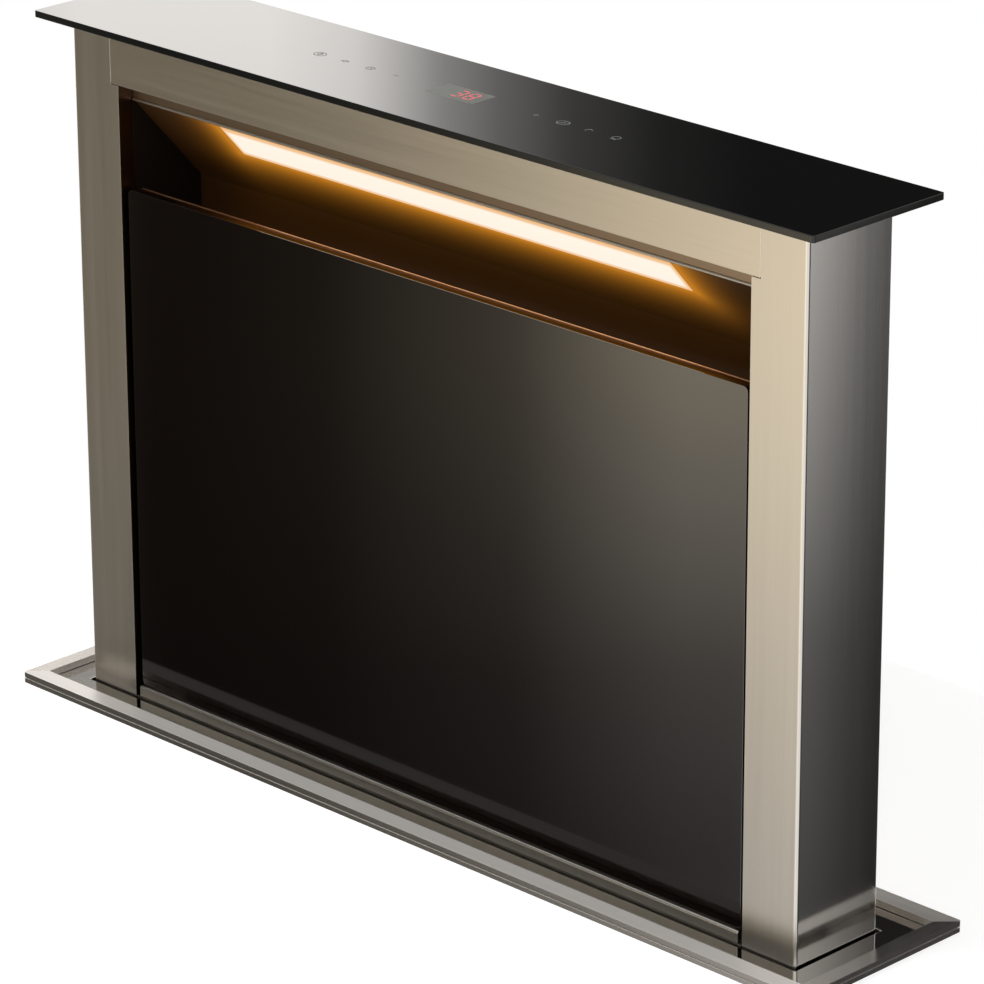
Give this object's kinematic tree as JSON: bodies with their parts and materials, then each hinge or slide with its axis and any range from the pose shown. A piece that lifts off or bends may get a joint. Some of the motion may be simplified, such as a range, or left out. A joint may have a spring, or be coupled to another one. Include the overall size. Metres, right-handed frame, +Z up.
{
  "type": "downdraft vent",
  "caption": "Retractable worktop vent: a glass-topped riser with a lit intake slot slides up out of a slim housing that carries a screw lift, a fan and a round duct outlet.",
  "frame": {"origin": "centre of the rectangular worktop cut-out, on the worktop surface that the trim frame rests on", "axes": "+Z up, the way the riser rises; -Y towards the cook, where the intake slot and the glass front face; +X to the right seen from the cook"},
  "size_m": [0.67, 0.3078, 0.9972],
  "materials": {
    "steel": "satin brushed stainless, warm",
    "trim_steel": "satin brushed stainless, fine lengthwise grain",
    "polished_steel": "mirror polished stainless",
    "galvanised": "galvanised sheet, dull",
    "dark_liner": "dark bronze paint, satin",
    "black_glass": "opaque black glass, polished edge",
    "bronze_glass": "dark bronze glass backed with black",
    "aluminium": "mill finish",
    "filter_mesh": "layered expanded mesh in a folded frame",
    "light": "opal diffuser, lit warm white",
    "circuit": "solder-masked board",
    "display": "grey-green window with red digits",
    "black_plastic": "moulded",
    "white_plastic": "moulded",
    "brass": "machined",
    "screw_steel": "bright drawn bar",
    "motor_paint": "black baked enamel",
    "rubber": "matt",
    "magnet_grey": "moulded, magnet inside"
  },
  "bodies": {
    "housing": {"worktop_frame": "trim_steel", "recess_pan": "polished_steel", "housing_front_panel": "galvanised", "housing_back_panel": "galvanised", "housing_floor": "galvanised", "control_box": "black_plastic", "cable_gland": "black_plastic", "drive_belt": "rubber", "lift_gearbox": "motor_paint", "lift_motor": "motor_paint", "blower_casing": "galvanised", "blower_cover": "galvanised", "scroll_wall": "galvanised", "inlet_ring": "black_plastic", "fan_motor": "motor_paint", "outlet_spigot": "black_plastic", "housing_end_left": "galvanised", "worktop_clamp_left": "galvanised", "guide_rail_left": "screw_steel", "screw_bearing_upper_left": "black_plastic", "screw_bearing_lower_left": "black_plastic", "housing_end_right": "galvanised", "worktop_clamp_right": "galvanised", "guide_rail_right": "screw_steel", "screw_bearing_upper_right": "black_plastic", "screw_bearing_lower_right": "black_plastic"},
    "riser": {"glass_top_plate": "black_glass", "top_plate_carrier": "aluminium", "touch_control_board": "circuit", "display_module": "display", "riser_side_left": "steel", "riser_side_right": "steel", "riser_top_rail": "steel", "riser_back_panel": "steel", "intake_liner": "dark_liner", "led_diffuser": "light", "led_board": "white_plastic", "led_driver": "black_plastic", "duct_side_left": "dark_liner", "duct_side_right": "dark_liner", "grease_filter_left": "filter_mesh", "grease_filter_right": "filter_mesh", "lower_front_panel": "steel", "front_glass_panel": "bronze_glass", "glass_backing_tray": "aluminium", "panel_bottom_trim": "steel", "panel_catch_left": "magnet_grey", "panel_catch_right": "magnet_grey", "lift_crossbar": "screw_steel", "lift_nut_left": "brass", "lift_nut_right": "brass", "guide_shoe_left": "white_plastic", "guide_shoe_right": "white_plastic"},
    "lead_screw_left": {"lead_screw_left": "screw_steel", "screw_pulley_left": "aluminium"},
    "lead_screw_right": {"lead_screw_right": "screw_steel", "screw_pulley_right": "aluminium"},
    "impeller": {"impeller": "black_plastic"},
    "damper_flap_left": {"damper_flap_left": "black_plastic"},
    "damper_flap_right": {"damper_flap_right": "black_plastic"}
  },
  "joints": [
    {"name": "riser_lift", "type": "slide", "parent": "housing", "child": "riser", "axis": [0, 0, 1], "range_m": [-0.408, 0]},
    {"name": "screw_left_spin", "type": "hinge", "parent": "housing", "child": "lead_screw_left", "pos_m": [-0.29078, -0.0024, -0.3], "axis": [0, 0, 1], "range_deg": [-1, 7345]},
    {"name": "screw_right_spin", "type": "hinge", "parent": "housing", "child": "lead_screw_right", "pos_m": [0.29078, -0.0024, -0.3], "axis": [0, 0, 1], "range_deg": [-1, 7345]},
    {"name": "impeller_spin", "type": "hinge", "parent": "housing", "child": "impeller", "pos_m": [-0.03, -0.1175, -0.3], "axis": [0, 1, 0], "continuous": true},
    {"name": "damper_right_swing", "type": "hinge", "parent": "housing", "child": "damper_flap_right", "pos_m": [0.0633, -0.1345, -0.4775], "axis": [0, 1, 0], "range_deg": [0, 78], "stiffness_Nm_per_rad": 0.02, "springref_deg": -34.38},
    {"name": "damper_left_swing", "type": "hinge", "parent": "housing", "child": "damper_flap_left", "pos_m": [0.0569, -0.1345, -0.4775], "axis": [0, 1, 0], "range_deg": [-78, 0], "stiffness_Nm_per_rad": 0.02, "springref_deg": 34.38}
  ],
  "couplings": [
    {"joint": "screw_left_spin", "follows": "riser_lift", "rad_per_m": -314.16},
    {"joint": "screw_right_spin", "follows": "riser_lift", "rad_per_m": -314.16},
    {"joint": "damper_left_swing", "follows": "damper_right_swing", "ratio": -1}
  ]
}
